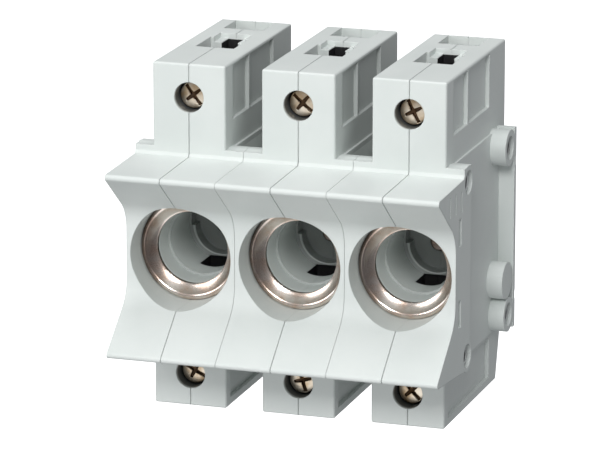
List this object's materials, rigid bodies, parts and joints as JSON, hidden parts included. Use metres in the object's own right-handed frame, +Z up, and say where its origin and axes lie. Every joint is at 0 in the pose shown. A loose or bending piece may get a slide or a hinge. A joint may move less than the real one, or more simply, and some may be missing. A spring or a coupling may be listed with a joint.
{
  "type": "cartridge fuse holder",
  "caption": "Rail-mounted fuse base in light grey plastic, with hollow front, screw-cap cavities with metal rings, and box terminals in towers above and below.",
  "frame": {"origin": "middle of the seat against the mounting rail: rail face in the plane Y = 0, rail centre line at Z = 0, middle pole at X = 0", "axes": "+X across the poles to the right seen from the front, +Y from the front towards the rail, +Z up"},
  "size_m": [0.081, 0.0704, 0.0834],
  "materials": {
    "housing_plastic": "fine satin",
    "latch_plastic": "satin",
    "ring_plating": "nickel plated, polished",
    "strap_plating": "tin plated, dull",
    "screw_steel": "plated, bright",
    "cage_steel": "zinc plated",
    "spring_steel": "drawn wire",
    "rivet_steel": "zinc plated"
  },
  "bodies": {
    "housing": {"through_rivets": "rivet_steel", "pole_1_left_shell": "housing_plastic", "pole_1_right_shell": "housing_plastic", "pole_1_thread_ring": "ring_plating", "pole_1_line_strap": "strap_plating", "pole_1_foot_strap": "strap_plating", "pole_1_contact_button": "ring_plating", "pole_1_latch_spring": "spring_steel", "pole_2_left_shell": "housing_plastic", "pole_2_right_shell": "housing_plastic", "pole_2_thread_ring": "ring_plating", "pole_2_line_strap": "strap_plating", "pole_2_foot_strap": "strap_plating", "pole_2_contact_button": "ring_plating", "pole_2_latch_spring": "spring_steel", "pole_3_left_shell": "housing_plastic", "pole_3_right_shell": "housing_plastic", "pole_3_thread_ring": "ring_plating", "pole_3_line_strap": "strap_plating", "pole_3_foot_strap": "strap_plating", "pole_3_contact_button": "ring_plating", "pole_3_latch_spring": "spring_steel"},
    "pole_1_line_screw": {"pole_1_line_screw": "screw_steel"},
    "pole_1_line_cage": {"pole_1_line_cage": "cage_steel"},
    "pole_1_load_screw": {"pole_1_load_screw": "screw_steel"},
    "pole_1_load_cage": {"pole_1_load_cage": "cage_steel"},
    "pole_1_rail_latch": {"pole_1_rail_latch": "latch_plastic"},
    "pole_2_line_screw": {"pole_2_line_screw": "screw_steel"},
    "pole_2_line_cage": {"pole_2_line_cage": "cage_steel"},
    "pole_2_load_screw": {"pole_2_load_screw": "screw_steel"},
    "pole_2_load_cage": {"pole_2_load_cage": "cage_steel"},
    "pole_2_rail_latch": {"pole_2_rail_latch": "latch_plastic"},
    "pole_3_line_screw": {"pole_3_line_screw": "screw_steel"},
    "pole_3_line_cage": {"pole_3_line_cage": "cage_steel"},
    "pole_3_load_screw": {"pole_3_load_screw": "screw_steel"},
    "pole_3_load_cage": {"pole_3_load_cage": "cage_steel"},
    "pole_3_rail_latch": {"pole_3_rail_latch": "latch_plastic"}
  },
  "joints": [
    {"name": "pole_1_line_screw_turn", "type": "hinge", "parent": "housing", "child": "pole_1_line_screw", "pos_m": [-0.027, -0.0409, 0.0369], "axis": [0, 1, 0], "range_deg": [0, 2880]},
    {"name": "pole_1_line_cage_slide", "type": "slide", "parent": "housing", "child": "pole_1_line_cage", "axis": [0, -1, 0], "range_m": [0, 0.0064]},
    {"name": "pole_1_load_screw_turn", "type": "hinge", "parent": "housing", "child": "pole_1_load_screw", "pos_m": [-0.027, -0.0409, -0.0305], "axis": [0, 1, 0], "range_deg": [0, 2880]},
    {"name": "pole_1_load_cage_slide", "type": "slide", "parent": "housing", "child": "pole_1_load_cage", "axis": [0, -1, 0], "range_m": [0, 0.0064]},
    {"name": "pole_1_latch_slide", "type": "slide", "parent": "housing", "child": "pole_1_rail_latch", "axis": [0, 0, -1], "range_m": [0, 0.0035], "stiffness_N_per_m": 400, "springref_m": -0.0015, "deforming": ["pole_1_latch_spring"]},
    {"name": "pole_2_line_screw_turn", "type": "hinge", "parent": "housing", "child": "pole_2_line_screw", "pos_m": [0, -0.0409, 0.0369], "axis": [0, 1, 0], "range_deg": [0, 2880]},
    {"name": "pole_2_line_cage_slide", "type": "slide", "parent": "housing", "child": "pole_2_line_cage", "axis": [0, -1, 0], "range_m": [0, 0.0064]},
    {"name": "pole_2_load_screw_turn", "type": "hinge", "parent": "housing", "child": "pole_2_load_screw", "pos_m": [0, -0.0409, -0.0305], "axis": [0, 1, 0], "range_deg": [0, 2880]},
    {"name": "pole_2_load_cage_slide", "type": "slide", "parent": "housing", "child": "pole_2_load_cage", "axis": [0, -1, 0], "range_m": [0, 0.0064]},
    {"name": "pole_2_latch_slide", "type": "slide", "parent": "housing", "child": "pole_2_rail_latch", "axis": [0, 0, -1], "range_m": [0, 0.0035], "stiffness_N_per_m": 400, "springref_m": -0.0015, "deforming": ["pole_2_latch_spring"]},
    {"name": "pole_3_line_screw_turn", "type": "hinge", "parent": "housing", "child": "pole_3_line_screw", "pos_m": [0.027, -0.0409, 0.0369], "axis": [0, 1, 0], "range_deg": [0, 2880]},
    {"name": "pole_3_line_cage_slide", "type": "slide", "parent": "housing", "child": "pole_3_line_cage", "axis": [0, -1, 0], "range_m": [0, 0.0064]},
    {"name": "pole_3_load_screw_turn", "type": "hinge", "parent": "housing", "child": "pole_3_load_screw", "pos_m": [0.027, -0.0409, -0.0305], "axis": [0, 1, 0], "range_deg": [0, 2880]},
    {"name": "pole_3_load_cage_slide", "type": "slide", "parent": "housing", "child": "pole_3_load_cage", "axis": [0, -1, 0], "range_m": [0, 0.0064]},
    {"name": "pole_3_latch_slide", "type": "slide", "parent": "housing", "child": "pole_3_rail_latch", "axis": [0, 0, -1], "range_m": [0, 0.0035], "stiffness_N_per_m": 400, "springref_m": -0.0015, "deforming": ["pole_3_latch_spring"]}
  ],
  "couplings": [
    {"joint": "pole_1_line_screw_turn", "follows": "pole_1_line_cage_slide", "rad_per_m": 7854},
    {"joint": "pole_1_load_screw_turn", "follows": "pole_1_load_cage_slide", "rad_per_m": 7854},
    {"joint": "pole_2_line_screw_turn", "follows": "pole_2_line_cage_slide", "rad_per_m": 7854},
    {"joint": "pole_2_load_screw_turn", "follows": "pole_2_load_cage_slide", "rad_per_m": 7854},
    {"joint": "pole_3_line_screw_turn", "follows": "pole_3_line_cage_slide", "rad_per_m": 7854},
    {"joint": "pole_3_load_screw_turn", "follows": "pole_3_load_cage_slide", "rad_per_m": 7854}
  ]
}
